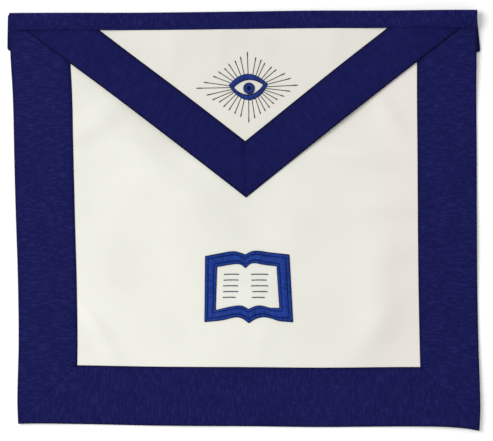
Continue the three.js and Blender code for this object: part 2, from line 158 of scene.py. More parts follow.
def folds(rows, x, y):
    """Height of the soft folds at a place on the leather."""
    height = np.zeros(np.broadcast(x, y).shape)
    for row in rows:
        out = x - (row["across"] - 0.5) * APRON_WIDTH
        up = y - row["up"] * APRON_HEIGHT
        turn = math.radians(row["turn"])
        along = (out * math.cos(turn) + up * math.sin(turn)) / row["length"]
        beside = (up * math.cos(turn) - out * math.sin(turn)) / row["width"]
        height += row["rise"] * np.exp(-along * along - beside * beside)
    return height


def underlay(x, y):
    """Height of the panel's underside over the belt, the straps and the back of the waistband."""
    over_belt = ease(y, BELT_FOOT - EASE - BELT_SLOPE, BELT_FOOT - EASE)
    over_strap = over_belt * ease(np.abs(x), BORDER_INNER - STRAP_SLOPE, BORDER_INNER)
    over_band = ease(y, BAND_FOOT - EASE - BAND_SLOPE, BAND_FOOT - EASE)
    return (BELT + GAP) * (over_belt + over_strap) + SEAT * over_band


def lift(x, y):
    """Height to which the edges and corners stand off the table."""
    height = np.zeros(np.broadcast(x, y).shape)
    for row in LIFTS:
        far = np.hypot(x - (row["across"] - 0.5) * APRON_WIDTH, y - row["up"] * APRON_HEIGHT)
        height += LIFT * row["rise"] * ease(far, row["reach"] * APRON_WIDTH, 0)
    return height


def swayed(points):
    """Points of the flat layout, with the wandering edges of the real apron."""
    x, y, height = np.moveaxis(np.asarray(points, float), -1, 0)
    across = x / APRON_WIDTH + 0.5
    up = y / APRON_HEIGHT
    left, right = (curve_at(SIDES, "up", side, up) for side in ("left", "right"))
    hem, waist = (curve_at(ENDS, "across", end, across) for end in ("hem", "waist"))
    x = x + EDGE_SWAY * (left + (right - left) * np.clip(across, 0, 1))
    y = y + EDGE_SWAY * (hem + (waist - hem) * up)
    return together(x, y, height)


# The clasp's middle is on the apron's middle line, so it ties the flat layout to the frame.
clasp_corners = np.array([list(corner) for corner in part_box("belt_clasp")]) / MILLIMETRE
row_shift = clasp_corners.mean(axis=0) - swayed([0, (BELT_FOOT + APRON_HEIGHT) / 2, 0])
row_shift[2] = clasp_corners[0, 2]


def on_table(points):
    """The place in the frame of points of the flat layout."""
    return swayed(points) + row_shift


def on_panel(points):
    """The same, for points whose height is over the panel's underside. The borders keep its folds down."""
    x, y = points[..., 0], points[..., 1]
    free_across = ease(np.abs(x), BORDER_INNER + FADE_UNDER, BORDER_INNER)
    free = free_across * ease(y, BORDER_WIDTH - FADE_UNDER, BORDER_WIDTH)
    rise = underlay(x, y) + lift(x, y) + free * folds(PANEL_FOLDS, x, y)
    return on_table(points + together(0, 0, rise))


def stations(start, end, cell):
    """Places from start to end, about a cell apart."""
    return np.linspace(start, end, 1 + math.ceil(abs(end - start) / cell))


def loft(rings, looped=False):
    """Points and faces of closed strands: rings is strands x stations x points round x 3."""
    strands, along, around, _ = rings.shape
    i = np.arange(along if looped else along - 1)[:, None]
    k = np.arange(around)[None, :]
    ahead, beside = (i + 1) % along, (k + 1) % around
    corners = [i * around + k, ahead * around + k, ahead * around + beside, i * around + beside]
    faces = np.stack(corners, axis=-1).reshape(-1, 4)
    if not looped:
        j = np.arange(around // 2 - 1)
        near_end = np.stack([j, j + 1, around - 2 - j, around - 1 - j], axis=-1)
        far_end = (along - 1) * around + near_end[:, ::-1]
        faces = np.concatenate([faces, near_end, far_end])
    offsets = np.arange(strands)[:, None, None] * along * around
    faces = (faces[None] + offsets).reshape(-1, 4)
    points = rings.reshape(-1, 3)
    a, b, c, d = (points[faces[:, corner]] for corner in range(4))
    volume = (a * (np.cross(b, c) + np.cross(c, d))).sum()
    return points, faces[:, ::-1] if volume < 0 else faces


def sheet_rings(face, back):
    """Sections of a sheet from the points of its face and the matching points of its back."""
    return np.concatenate([face, back[:, ::-1]], axis=1)[None]


def placed(name, data):
    """A new object of the scene."""
    made = bpy.data.objects.new(name, data)
    bpy.context.scene.collection.objects.link(made)
    return made


def add_piece(name, points, faces, run, *materials):
    """A smooth piece of the apron. run is each point's place along and across its own cloth or thread."""
    mesh = bpy.data.meshes.new(name)
    mesh.from_pydata((points * MILLIMETRE).tolist(), [], [list(face) for face in faces])
    place = mesh.attributes.new("run", "FLOAT_VECTOR", "POINT")
    place.data.foreach_set("vector", np.asarray(run, np.float32).ravel())
    mesh.shade_smooth()
    for material in materials:
        mesh.materials.append(material)
    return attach(placed(name, mesh), "root")


def add_node(tree, kind, inputs=None, **settings):
    """A shader node. Each input is a value, or the output of another node to link."""
    made = tree.nodes.new(kind)
    for setting, value in settings.items():
        setattr(made, setting, value)
    for socket, value in (inputs or {}).items():
        if isinstance(value, bpy.types.NodeSocket):
            tree.links.new(value, made.inputs[socket])
        else:
            made.inputs[socket].default_value = value
    return made


def sum_of(tree, operation, first, second):
    """The result of a Math node."""
    return add_node(tree, "ShaderNodeMath", {0: first, 1: second}, operation=operation).outputs[0]


def spread(tree, value, low, high, new_low=0.0, new_high=1.0):
    """A value stretched from one range to another, and held inside it."""
    ends = {"Value": value, "From Min": low, "From Max": high, "To Min": new_low, "To Max": new_high}
    return add_node(tree, "ShaderNodeMapRange", ends).outputs[0]


def between(tree, share, first, second):
    """A colour between two others."""
    mixed = add_node(tree, "ShaderNodeMix", {0: share, 6: first, 7: second}, data_type="RGBA")
    return mixed.outputs[2]


def noise(tree, place, scale, detail, roughness=0.5):
    """The outputs of a Noise Texture."""
    return add_node(tree, "ShaderNodeTexNoise", {
        "Vector": place, "Scale": scale, "Detail": detail, "Roughness": roughness,
    }).outputs


def new_effect(name, inputs, outputs):
    """A shader group that several materials share, with what goes into it and where its results go."""
    tree = bpy.data.node_groups.new(name, "ShaderNodeTree")
    for label in inputs:
        kind = "NodeSocketVector" if label == "Place" else "NodeSocketFloat"
        tree.interface.new_socket(label, in_out="INPUT", socket_type=kind)
    for label in outputs:
        tree.interface.new_socket(label, in_out="OUTPUT", socket_type="NodeSocketFloat")
    return tree, tree.nodes.new("NodeGroupInput").outputs, tree.nodes.new("NodeGroupOutput").inputs


def effect(tree, group, **inputs):
    """The outputs of a shared effect, placed in a material with its own values."""
    return add_node(tree, "ShaderNodeGroup", inputs, node_tree=group).outputs


def bare_material(name):
    """A material with its tree and its shader."""
    material = bpy.data.materials.new(name)
    material.use_nodes = True
    return material, material.node_tree, material.node_tree.nodes["Principled BSDF"]


def new_material(name):
    """The same, with the place on the cloth or thread that its patterns follow."""
    material, tree, shader = bare_material(name)
    run = add_node(tree, "ShaderNodeAttribute", attribute_name="run").outputs["Vector"]
    return material, tree, shader, run


def dress(tree, shader, colour, rough, sheen, relief, strength, depth):
    """The look of a shader: its colour, its sheen, and a fine relief with a depth in millimetres."""
    tree.links.new(colour, shader.inputs["Base Color"])
    tree.links.new(rough, shader.inputs["Roughness"])
    shader.inputs["Specular IOR Level"].default_value = sheen
    bump = add_node(tree, "ShaderNodeBump", {
        "Height": relief, "Strength": strength, "Distance": depth * MILLIMETRE,
    })
    tree.links.new(bump.outputs["Normal"], shader.inputs["Normal"])


def paint(red, green, blue):
    """A colour from its screen numbers, 0 to 255, in the linear numbers that a shader takes."""
    shares = [channel / 255 for channel in (red, green, blue)]
    linear = [((share + 0.055) / 1.055) ** 2.4 if share > 0.04 else share / 12.92 for share in shares]
    return (*linear, 1.0)


def uneven_tone():
    """Broad soft patches of tone, as on any hide, cloth or dyed thread."""
    tree, given, result = new_effect("uneven_tone", ["Place", "Patch"], ["Tone"])
    scale = sum_of(tree, "DIVIDE", 1.0, given["Patch"])
    patches = noise(tree, given["Place"], scale, 3.0, 0.55)
    tree.links.new(spread(tree, patches["Fac"], 0.32, 0.68), result["Tone"])
    return tree


def leather_grain():
    """The fine pebbles of a hide, and the creases between them, where shade is painted."""
    tree, given, result = new_effect("leather_grain", ["Place", "Pebble"], ["Height", "Crease_shade"])
    scale = sum_of(tree, "DIVIDE", 1.0, given["Pebble"])
    bent = noise(tree, given["Place"], sum_of(tree, "MULTIPLY", scale, 1.3), 2.0)
    wandering = add_node(tree, "ShaderNodeVectorMath", {
        0: bent["Color"], 1: (0.6, 0.6, 0.6), 2: given["Place"],
    }, operation="MULTIPLY_ADD").outputs[0]
    pebbles = add_node(tree, "ShaderNodeTexVoronoi", {
        "Vector": wandering, "Scale": scale, "Randomness": 0.9,
    }, feature="DISTANCE_TO_EDGE").outputs["Distance"]
    swell = noise(tree, given["Place"], sum_of(tree, "MULTIPLY", scale, 0.35), 4.0)
    rounded = spread(tree, pebbles, 0.0, 0.22)
    tree.links.new(sum_of(tree, "ADD", rounded, swell["Fac"]), result["Height"])
    tree.links.new(spread(tree, pebbles, 0.1, 0.0), result["Crease_shade"])
    return tree


tone_effect = uneven_tone()
grain_effect = leather_grain()


def parts_of(tree, place):
    """The X, Y and Z of a place."""
    return add_node(tree, "ShaderNodeSeparateXYZ", {0: place}).outputs


def lambskin(name, low, high, warm, pebble, depth, roughness):
    """Skin with grain of a given size and depth. Painted light makes it lighter at its foot, and painted
    shade makes it darker and warmer to the right.
    """
    material, tree, shader, run = new_material(name)
    tone = effect(tree, tone_effect, Place=run, Patch=HIDE_PATCH)["Tone"]
    grain = effect(tree, grain_effect, Place=run, Pebble=pebble)
    # Painted shade: the creases between the pebbles are drawn darker.
    shaded_creases = sum_of(tree, "MULTIPLY", grain["Crease_shade"], CREASE_SHADE_SHARE)
    patches = sum_of(tree, "SUBTRACT", sum_of(tree, "MULTIPLY", tone, PATCH_SHARE), shaded_creases)
    place = parts_of(tree, run)
    # Painted light: the hide is drawn lighter towards its foot.
    share = sum_of(tree, "ADD", patches, spread(tree, place["Y"], *PAINTED_LIGHT_FOOT, 0.0, PAINTED_LIGHT_SHARE))
    # Painted shade: the hide is drawn darker and warmer towards the right.
    hide = between(tree, spread(tree, place["X"], *PAINTED_SHADE_SIDE), between(tree, share, low, high), warm)
    rough = spread(tree, tone, 0.0, 1.0, roughness + 0.06, roughness - 0.04)
    dress(tree, shader, hide, rough, HIDE_SHEEN, grain["Height"], 0.5, depth)
    return material


panel_grain = lambskin(
    "white_lambskin", paint(218, 218, 208), paint(232, 232, 224), paint(226, 222, 215), 0.7, 0.05, 0.6
)
suede_side = lambskin(
    "suede_side", paint(214, 208, 192), paint(224, 219, 205), paint(222, 216, 202), 1.6, 0.2, 0.92
)


def leather_sheet(name, x, y, place, grain_side):
    """A leather sheet over a grid of places, with its grain side up and its suede side down."""
    face, back = (together(x, y, height) for height in (LEATHER, 0.0))
    points, faces = loft(sheet_rings(face, back))
    leather = add_piece(name, place(points), faces, points * (1, 1, 0), grain_side, suede_side)
    low = points[faces][..., 2].max(axis=1) < LEATHER / 2
    leather.data.polygons.foreach_set("material_index", low.astype(np.int32))
    return leather


panel_x = stations(SEAT - HALF_WIDTH, HALF_WIDTH - SEAT, LEATHER_CELL)[:, None]
panel_y = stations(SEAT, STACK_TOP, LEATHER_CELL)[None, :]
panel = leather_sheet("panel_leather", panel_x, panel_y, on_panel, panel_grain)
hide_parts("apron_panel")

# The open book on the panel
# Its frame is padded satin stitch in blue thread: three columns of thread laid across the frame, side by
# side, with a darker stem stitch along the outer and the inner edge. Its pages are bare leather with a few
# ruled lines of back stitch.
BOOK_UP = 120.2
THREAD = 0.22
THREAD_SIDES = 6
BOOK_PITCH = 0.42
BOOK_COLUMNS = table("start end crown", [(0.06, 0.26, 0.4), (0.28, 0.77, 0.75), (0.79, 0.95, 0.35)])
COLUMN_BASE = 0.55
SATIN_SLANT = 2
SATIN_UNEVEN = 0.04
STEM_STITCH = 2.4
STEM_SHARES = (0.03, 0.97)
STEM_LAP = 8
STEM_SITS = 0.2
STEM_ARCH = 0.25
RULED_PITCH = 1.9
RULED_STITCH = RULED_PITCH * 0.92
RULED_SAG = 0.9
RULED_SITS = 0.12
RULED_ARCH = 0.2

# Thickness along a thread of satin stitch, of stem stitch and of a ruled line
SATIN_THREAD = np.array([0.6, 1, 1, 1, 1, 0.6]) * THREAD
BOOK_SATIN_THREAD = SATIN_THREAD * 1.15
STEM_THREAD = np.array([0.6, 0.9, 1, 0.9, 0.6]) * THREAD
BOOK_STEM_THREAD = STEM_THREAD * 2
RULED_THREAD = np.array([0.6, 1, 1, 1, 0.6]) * THREAD * 2.2
STITCH_POINTS = len(STEM_THREAD)

# Heights of the four edges of the frame from the book's middle, at shares of their half widths
BOOK_EDGES = table("across head head_inner foot_inner foot", [
    (-1, 27.7, 18.2, -19.2, -29.6), (-0.6, 30.4, 19.9, -16.4, -28.0), (-0.3, 31.9, 20.8, -15.1, -25.4),
    (-0.16, 31.0, 20.2, -15.7, -26.3), (0, 29.1, 17.2, -18.2, -30.5), (0.15, 31.9, 20.8, -16.2, -26.9),
    (0.33, 32.2, 21.5, -15.1, -25.2), (0.5, 31.2, 20.5, -15.6, -26.2), (0.68, 30.4, 19.8, -16.9, -28.4),
    (1, 29.1, 18.9, -17.1, -29.5),
])

# Where each of those edges ends at the left, crosses the spine and ends at the right
BOOK_REACH = {
    "head": (-36.7, -1.4, 37.0),
    "head_inner": (-26.4, -1.6, 25.5),
    "foot_inner": (-28.3, 0.5, 27.3),
    "foot": (-38.3, 0.5, 39.2),
}
RULED_LINES = table("up left_from left_to right_from right_to", [
    (12.0, -20.5, -5.5, 3.0, 19.0), (7.0, -21.0, -6.0, 3.5, 18.5), (2.0, -21.5, -7.5, 3.0, 19.5),
    (-3.0, -21.5, -6.5, 4.0, 19.0), (-8.0, -22.0, -10.0, 3.5, 15.0),
])


def thread_ply():
    """The twist of a thread's plies, and a tone of its own for each strand."""
    tree, given, result = new_effect("thread_ply", ["Place", "Pitch"], ["Height", "Tone"])
    place = parts_of(tree, given["Place"])
    turns = sum_of(tree, "ADD", sum_of(tree, "DIVIDE", place["X"], given["Pitch"]), place["Y"])
    wave = sum_of(tree, "SINE", sum_of(tree, "MULTIPLY", turns, 2 * math.pi), 0.0)
    strand = add_node(tree, "ShaderNodeTexWhiteNoise", {"W": place["Z"]}, noise_dimensions="1D")
    tree.links.new(spread(tree, wave, -1.0, 1.0), result["Height"])
    tree.links.new(strand.outputs["Value"], result["Tone"])
    return tree


ply_effect = thread_ply()


def thread_material(name, low, high, pitch, roughness, sheen):
    """Dyed thread between two tones, with its twist, whose crests get a little painted highlight."""
    material, tree, shader, run = new_material(name)
    ply = effect(tree, ply_effect, Place=run, Pitch=pitch)
    tone = effect(tree, tone_effect, Place=run, Patch=5.0)["Tone"]
    share = sum_of(tree, "MULTIPLY", ply["Tone"], 0.3)
    # The crests of the twist get a little painted highlight. The patches are the thread's own tone.
    for part, weight in ((ply["Height"], 0.1), (tone, 0.6)):
        share = sum_of(tree, "ADD", share, sum_of(tree, "MULTIPLY", part, weight))
    rough = spread(tree, ply["Tone"], 0.0, 1.0, roughness - 0.06, roughness + 0.06)
    dress(tree, shader, between(tree, share, low, high), rough, sheen, ply["Height"], 0.6, 0.06)
    return material


royal_thread = thread_material("royal_thread", paint(0, 22, 84), paint(34, 72, 172), 0.9, 0.45, 0.15)
deep_thread = thread_material("deep_thread", paint(2, 10, 48), paint(10, 22, 76), 0.9, 0.55, 0.1)


def strands(paths, thickness):
    """Rings round the middle lines of threads, and the place of each point along and round its thread."""
    lengths = np.linalg.norm(np.diff(paths, axis=1), axis=-1)
    along = np.gradient(paths, axis=1)
    along /= np.linalg.norm(along, axis=-1, keepdims=True) + NOTHING
    beside = np.cross(along, (0.0, 0.0, 1.0))
    beside /= np.linalg.norm(beside, axis=-1, keepdims=True) + NOTHING
    above = np.cross(beside, along)
    turn = np.arange(THREAD_SIDES) / THREAD_SIDES
    angle = 2 * np.pi * turn[:, None] - np.pi / 2
    outward = beside[:, :, None] * np.cos(angle) + above[:, :, None] * np.sin(angle)
    rings = paths[:, :, None] + outward * np.broadcast_to(thickness, paths.shape[:2])[..., None, None]
    travelled = np.concatenate([np.zeros((len(paths), 1)), np.cumsum(lengths, axis=1)], axis=1)
    number = np.arange(len(paths))[:, None, None]
    return rings, together(travelled[:, :, None], turn, number)


def add_threads(name, paths, thickness, material):
    """One piece of many threads, each round its own path."""
    rings, run = strands(paths, thickness)
    points, faces = loft(rings)
    return add_piece(name, points, faces, run.reshape(-1, 3), material)


def distances(line):
    """How far along a line each of its points is."""
    return np.concatenate([[0], np.cumsum(np.linalg.norm(np.diff(line, axis=0), axis=1))])


def points_along(line, far, places):
    """Points of a line at distances from its start, where far is the distance of each of its own points."""
    return together(*(np.interp(places, far, line[:, axis]) for axis in range(line.shape[1])))


def even_pairs(outer, inner, pitch):
    """Matching points of two closed outlines, about a pitch apart along the outer one."""
    outer, inner = (np.concatenate([line, line[:1]]) for line in (outer, inner))
    far = distances(outer)
    places = np.linspace(0, far[-1], round(far[-1] / pitch), endpoint=False)
    return [points_along(line, far, places) for line in (outer, inner)]


def across_band(outer, inner, share):
    """Points at a share of the way from one outline to the other."""
    return outer + (inner - outer) * share


def raised(flat_points, height):
    """Flat points with a height of their own."""
    height = np.broadcast_to(height, flat_points.shape[:-1])
    return np.concatenate([flat_points, height[..., None]], axis=-1)


def satin_column(outer, inner, place, base, crown, slant, seed, ragged=0.012):
    """Threads laid side by side across a band, from one of its edges to the other, over a padding."""
    loose = np.random.default_rng(seed)
    count = len(outer)
    steps = np.linspace(0, 1, len(SATIN_THREAD))
    ends = loose.uniform(-ragged, ragged, (count, 2))
    start = across_band(outer, inner, ends[:, :1])
    end = across_band(np.roll(outer, slant, axis=0), np.roll(inner, slant, axis=0), 1 + ends[:, 1:])
    paths = start[:, None] + (end - start)[:, None] * steps[:, None]
    arch = base + crown * np.sqrt(np.maximum(1 - (2 * steps - 1) ** 2, 0))
    jitter = loose.uniform(-SATIN_UNEVEN, SATIN_UNEVEN, (count, 1))
    return place(raised(paths, arch + jitter))


def add_padding(name, outer, inner, place, levels):
    """The closed pad under satin stitch, between two outlines: levels are its heights across it."""
    shares = np.linspace(0, 1, len(levels))
    lines = [raised(across_band(outer, inner, share), level) for share, level in zip(shares, levels)]
    face = np.stack(lines, axis=1)
    back = face * (1, 1, 0) + (0, 0, LEATHER)
    points, faces = loft(place(sheet_rings(face, back)), looped=True)
    return add_piece(name, points, faces, points, deep_thread)


def stitch_places(line, pitch, length):
    """Short paths along an open line, one for each stitch, with a pitch between their starts."""
    far = distances(line)
    starts = np.arange(0, far[-1] - length, pitch)
    return points_along(line, far, starts[:, None] + length * np.linspace(0, 1, STITCH_POINTS))


def stem_row(outline, lap, length):
    """Stem stitches round a closed outline and over its start, each from the middle of the one before."""
    return stitch_places(np.concatenate([outline, outline[:lap]]), length / 2, length)


def add_stitches(name, rows, height, rise, place, thickness, material):
    """One piece of many stitches, each of which rises in an arch over the cloth."""
    arch = height + rise * np.sin(np.linspace(0, np.pi, STITCH_POINTS))
    return add_threads(name, place(raised(np.concatenate(rows), arch)), thickness, material)


def book_edge(edge, across):
    """Points of one edge of the book's frame, at shares of its half width."""
    left, spine, right = BOOK_REACH[edge]
    x = spine + np.where(across < 0, -across * (left - spine), across * (right - spine))
    pages = (BOOK_EDGES[:5], BOOK_EDGES[4:])
    left_page, right_page = (curve_at(page, "across", edge, across) for page in pages)
    return together(x, np.where(across < 0, left_page, right_page))


def book_outline(head, foot):
    """A closed outline of the book: along its head, down the right, back along its foot and up the left."""
    across = np.linspace(-1, 1, 121)
    top = book_edge(head, across)
    bottom = book_edge(foot, -across)
    down = np.linspace(0, 1, 40)[1:-1, None]
    right = top[-1] + (bottom[0] - top[-1]) * down
    left = bottom[-1] + (top[0] - bottom[-1]) * down
    return np.concatenate([top, right, bottom, left])


def on_book(points):
    """The place of points round the book's middle, at heights over the panel's underside."""
    return on_panel(points + np.array([0, BOOK_UP, 0]))


book_outer, book_inner = even_pairs(
    book_outline("head", "foot"), book_outline("head_inner", "foot_inner"), BOOK_PITCH
)
book_satin = add_threads(
    "book_satin",
    np.concatenate([
        satin_column(
            across_band(book_outer, book_inner, column["start"]),
            across_band(book_outer, book_inner, column["end"]),
            on_book,
            LEATHER + COLUMN_BASE,
            column["crown"],
            SATIN_SLANT,
            seed,
        )
        for seed, column in enumerate(BOOK_COLUMNS)
    ]),
    BOOK_SATIN_THREAD,
    royal_thread,
)
pad_levels = LEATHER + COLUMN_BASE * np.array([0.1, 1, 1.3, 1, 1.3, 1, 1.3, 1, 0.1])
book_pad = add_padding("book_padding", book_outer, book_inner, on_book, pad_levels)
stem_outlines = [across_band(book_outer, book_inner, share) for share in STEM_SHARES]
stem_rows = [stem_row(outline, STEM_LAP, STEM_STITCH) for outline in stem_outlines]
book_stems = add_stitches(
    "book_stem_stitch", stem_rows, LEATHER + STEM_SITS, STEM_ARCH, on_book, BOOK_STEM_THREAD, deep_thread
)
ruled = []
for line in RULED_LINES:
    for page in ("left", "right"):
        x = np.linspace(line[page + "_from"], line[page + "_to"], 24)
        sag = RULED_SAG * ((x - x.mean()) / np.ptp(x)) ** 2
        ruled.append(stitch_places(together(x, line["up"] - sag), RULED_PITCH, RULED_STITCH))
page_lines = add_stitches(
    "page_lines", ruled, LEATHER + RULED_SITS, RULED_ARCH, on_book, RULED_THREAD, deep_thread
)
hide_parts("book_frame")

# The ribbon borders
# Ribbed navy ribbon, two inches wide, along both sides and the hem. It is turned down over the edge of
# the leather, mitred at the lower corners, and sewn along its inner edge and again near the fold.
RIBBON_FACE = LEATHER + GAP + RIBBON
RIB_PITCH = 1.085
RIB_DEPTH = 0.22
WARP_PITCH = 0.45
EDGE_REACH = 2.6
# The colour of the painted shade at a ribbon's fold, and of the denser weave of its selvedge
NAVY_EDGE_SHADE = paint(11, 12, 44)
RIBBON_PATCH = 22.0
RIBBON_CELL = 7.5
FOLD_RADIUS = 1.6
SELVEDGE_ROUND = 0.3
SELVEDGE_THINS = 0.55
SELVEDGE_REACH = 3.5
LAID_DOWN = 5.0
LAID_SHARE = 0.8
RIBS_START = 0.3
RIBS_FULL = 1.4
RIBS_ON_TURN = 0.5
RIB_SLACK = 0.3
RIB_DRIFT = 6
PUCKER = 0.1
PUCKER_LONG = 9
PUCKER_WIDE = 11
STITCH = 2.9
STITCH_PITCH = 3.5
INNER_ROW = 2.2
FOLD_ROW = 3.1
ROW_DENT = 0.9
ROW_DEPTH = 0.15
ROW_CLEAR = 2.4
STITCH_SINK = 0.35
STITCH_ARCH = 0.2
LOCK_THREAD = np.array([0.5, 1, 1, 1, 0.5]) * THREAD
MITRE_GAP = 0.03
MITRE_STEPS = (4.4, 3.0, 1.8, 0.9, 0)
MITRE_SINK = 0.6
MITRE_REACH = 2.6


def woven_ribs():
    """The threads of a ribbed ribbon, and dashes where some ribs stand proud, for a painted highlight."""
    tree, given, result = new_effect("woven_ribs", ["Place", "Spacing", "Dash"], ["Height", "Proud_rib_highlight"])
    place = parts_of(tree, given["Place"])
    pick = sum_of(tree, "SNAP", place["X"], RIB_PITCH)
    stretched = add_node(tree, "ShaderNodeCombineXYZ", {
        "X": sum_of(tree, "DIVIDE", pick, given["Spacing"]),
        "Y": sum_of(tree, "DIVIDE", place["Y"], given["Dash"]),
    }).outputs[0]
    dashes = noise(tree, stretched, 1.0, 3.0, 0.7)["Fac"]
    warp = sum_of(tree, "SINE", sum_of(tree, "MULTIPLY", place["Y"], 2 * math.pi / WARP_PITCH), 0.0)
    fuzz = noise(tree, given["Place"], 3.0, 2.0)["Fac"]
    tree.links.new(sum_of(tree, "ADD", spread(tree, warp, -1.0, 1.0), fuzz), result["Height"])
    tree.links.new(spread(tree, dashes, 0.48, 0.62), result["Proud_rib_highlight"])
    return tree


def edge_shade_mask():
    """A mask that is 1 at both edges of a ribbon and fades a little way in: painted shade at the fold,
    where the cloth turns down, and the darker, denser weave of the selvedge.
    """
    tree, given, result = new_effect("edge_shade_mask", ["Place", "Width", "Reach"], ["Edge"])
    inwards = parts_of(tree, given["Place"])["Y"]
    from_far_edge = sum_of(tree, "SUBTRACT", given["Width"], inwards)
    nearest = sum_of(tree, "MINIMUM", inwards, from_far_edge)
    fade = sum_of(tree, "DIVIDE", nearest, given["Reach"])
    tree.links.new(spread(tree, fade, 0.0, 1.0, 1.0, 0.0), result["Edge"])
    return tree


rib_effect = woven_ribs()
edge_shade_effect = edge_shade_mask()


def ribbon_material(name, low, high, width, edge, spacing, dash, rib_highlight, roughness):
    """Navy cloth with ribs across it. Its edges darken by edge, with painted shade at the fold and the
    denser weave of the selvedge, and a painted highlight lightens its proud ribs by streak.
    """
    material, tree, shader, run = new_material(name)
    ribs = effect(tree, rib_effect, Place=run, Spacing=spacing, Dash=dash)
    tone = effect(tree, tone_effect, Place=run, Patch=RIBBON_PATCH)["Tone"]
    edges = effect(tree, edge_shade_effect, Place=run, Width=width, Reach=EDGE_REACH)["Edge"]
    # Painted highlight: the ribs that stand proud are drawn lighter.
    highlighted_ribs = sum_of(tree, "MULTIPLY", ribs["Proud_rib_highlight"], rib_highlight)
    share = sum_of(tree, "ADD", highlighted_ribs, sum_of(tree, "MULTIPLY", tone, 0.2))
    # Painted shade at the fold and the denser weave of the selvedge: the cloth is drawn darker at both
    # edges.
    shaded_edges = sum_of(tree, "MULTIPLY", edges, edge)
    cloth = between(tree, shaded_edges, between(tree, share, low, high), NAVY_EDGE_SHADE)
    rough = spread(tree, ribs["Proud_rib_highlight"], 0.0, 1.0, roughness, roughness - 0.12)
    dress(tree, shader, cloth, rough, 0.06, ribs["Height"], 0.5, 0.05)
    return material


border_cloth = ribbon_material(
    "navy_border_ribbon", paint(18, 19, 73), paint(29, 31, 89), BORDER_WIDTH, 0.7, 1.3, 9.0, 0.8, 0.8
)
sewing_thread = thread_material(
    "navy_sewing_thread", paint(18, 20, 74), paint(34, 38, 104), 0.7, 0.65, 0.08
)


def wander(first, second):
    """A smooth irregular number from -1 to 1 that changes from place to place."""
    return (
        np.sin(first * 1.3 + 1.7 * np.sin(second * 0.7 + 0.4))
        + np.sin(first * 2.1 + second * 1.1 + 2.0)
        + np.sin(first * 0.6 - second * 1.6 + 4.1)
    ) / 3


def rib_wave(along, across):
    """Depth of the ribs at places along a ribbon, as a share that is uneven from place to place."""
    slack = 1 - RIB_SLACK + RIB_SLACK * wander(along / 2.4, across)
    return (0.5 + 0.5 * np.cos(2 * np.pi * along / RIB_PITCH)) * slack


def dent(away):
    """How much of the dent of a row of stitches is left at a distance from it."""
    return np.exp(-((away / ROW_DENT) ** 2))


def ribbon_section(width):
    """A ribbon that turns down over the leather's edge, as points of its face and of its back. Each is
    inwards from the fold and up from the leather's underside. Last is the way that the face looks there."""
    turn = np.linspace(0, np.pi / 2, 5)
    bend = together(-np.cos(turn), np.sin(turn))
    centre = np.array([FOLD_RADIUS, RIBBON_FACE - FOLD_RADIUS])
    beside_row = np.array([-ROW_DENT, 0, ROW_DENT])
    inner_row = width - INNER_ROW
    flat = np.concatenate([
        FOLD_ROW + beside_row,
        stations(FOLD_ROW + ROW_CLEAR, inner_row - ROW_CLEAR, RIBBON_CELL),
        inner_row + beside_row,
        [width - SELVEDGE_ROUND],
    ])
    rim = together(np.sin(turn[1:]), np.cos(turn[1:]))
    rim_face = np.array([width, RIBBON_FACE]) - SELVEDGE_ROUND + SELVEDGE_ROUND * rim
    face = [[[0, 0]], centre + FOLD_RADIUS * bend, together(flat, RIBBON_FACE), rim_face]
    back = [
        [[RIBBON, 0]],
        centre + (FOLD_RADIUS - RIBBON) * bend,
        together(flat, RIBBON_FACE - RIBBON),
        together(rim_face[:, 0], RIBBON_FACE - RIBBON),
    ]
    looks = [[[-1, 0]], bend, together(flat * 0, 1), rim]
    return [np.concatenate(part) for part in (face, back, looks)]


def pressed(inwards, width):
    """How far a ribbon is drawn down along its rows of stitches, and towards its inner edge."""
    rows = dent(inwards - FOLD_ROW) + dent(inwards - width + INNER_ROW)
    return ROW_DEPTH * rows + LAID_SHARE * GAP * ease(inwards, width - LAID_DOWN, width)


def ribbed(width, along, deepest=RIB_DEPTH):
    """Sections of a ribbon at places along it, with its ribs: points are along, inwards and up."""
    face, back, looks = ribbon_section(width)
    along, inwards = along[:, None], face[:, 0]
    from_fold = ease(inwards, RIBS_START, FOLD_RADIUS)
    plain_edges = from_fold * ease(inwards, width - RIBS_START, width - RIBS_FULL)
    shown = np.maximum(plain_edges, RIBS_ON_TURN * (inwards < FOLD_RADIUS))
    ribs = rib_wave(along, inwards / RIB_DRIFT) * shown
    pucker = PUCKER * wander(along / PUCKER_LONG, inwards / PUCKER_WIDE)
    raised_by = pucker * plain_edges - deepest * ribs
    thins = SELVEDGE_THINS * ease(inwards, width - SELVEDGE_REACH, width)
    up = face[:, 1] - (pressed(inwards, width) + thins) + raised_by * looks[:, 1]
    under = back[:, 1] - pressed(back[:, 0], width) * (back[:, 1] > LEATHER)
    return loft(sheet_rings(
        together(along, inwards + raised_by * looks[:, 0], up), together(along, back[:, 0], under)
    ))


